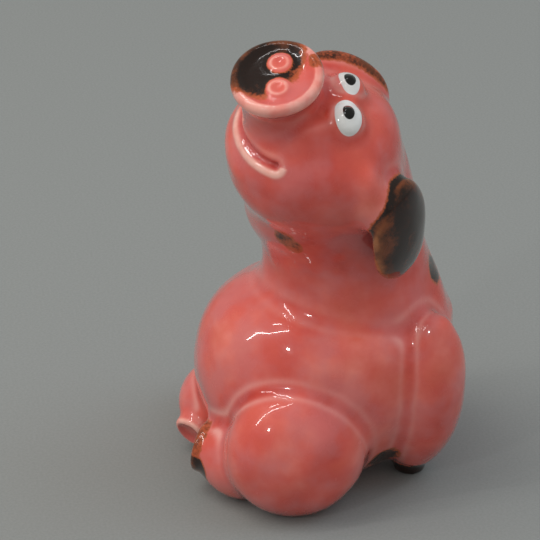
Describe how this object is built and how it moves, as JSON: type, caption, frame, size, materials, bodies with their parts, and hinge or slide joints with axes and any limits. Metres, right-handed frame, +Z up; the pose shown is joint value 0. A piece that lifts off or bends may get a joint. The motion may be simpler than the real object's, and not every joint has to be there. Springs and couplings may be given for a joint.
{
  "type": "pig figurine",
  "caption": "Small glazed ceramic pig that sits on its rump, leans back on its forelegs and lifts its snout; hollow body and head with a vent hole in the base.",
  "frame": {"origin": "on the table, under the middle of the figure's bounding box", "axes": "+Z up; the pig faces -Y; its left side is +X"},
  "size_m": [0.055, 0.0511, 0.088],
  "materials": {
    "pink_glaze": "gloss",
    "brown_glaze": "gloss",
    "white_glaze": "gloss",
    "black_glaze": "gloss"
  },
  "bodies": {
    "root": {"torso_shell": "pink_glaze", "neck_coil": "pink_glaze", "head_shell": "pink_glaze", "snout_barrel": "pink_glaze", "snout_disc": "brown_glaze", "left_nostril": "pink_glaze", "right_nostril": "brown_glaze", "lower_jaw": "pink_glaze", "left_ear": "brown_glaze", "left_ear_root": "pink_glaze", "right_ear": "pink_glaze", "left_eye": "white_glaze", "right_eye": "white_glaze", "left_pupil": "black_glaze", "right_pupil": "black_glaze", "left_thigh": "pink_glaze", "right_thigh": "pink_glaze", "left_foot": "pink_glaze", "right_foot": "pink_glaze", "left_hind_hoof": "brown_glaze", "right_hind_hoof": "pink_glaze", "left_arm": "pink_glaze", "right_arm": "pink_glaze", "left_front_hoof": "brown_glaze", "right_front_hoof": "brown_glaze", "tail": "pink_glaze"}
  },
  "joints": []
}
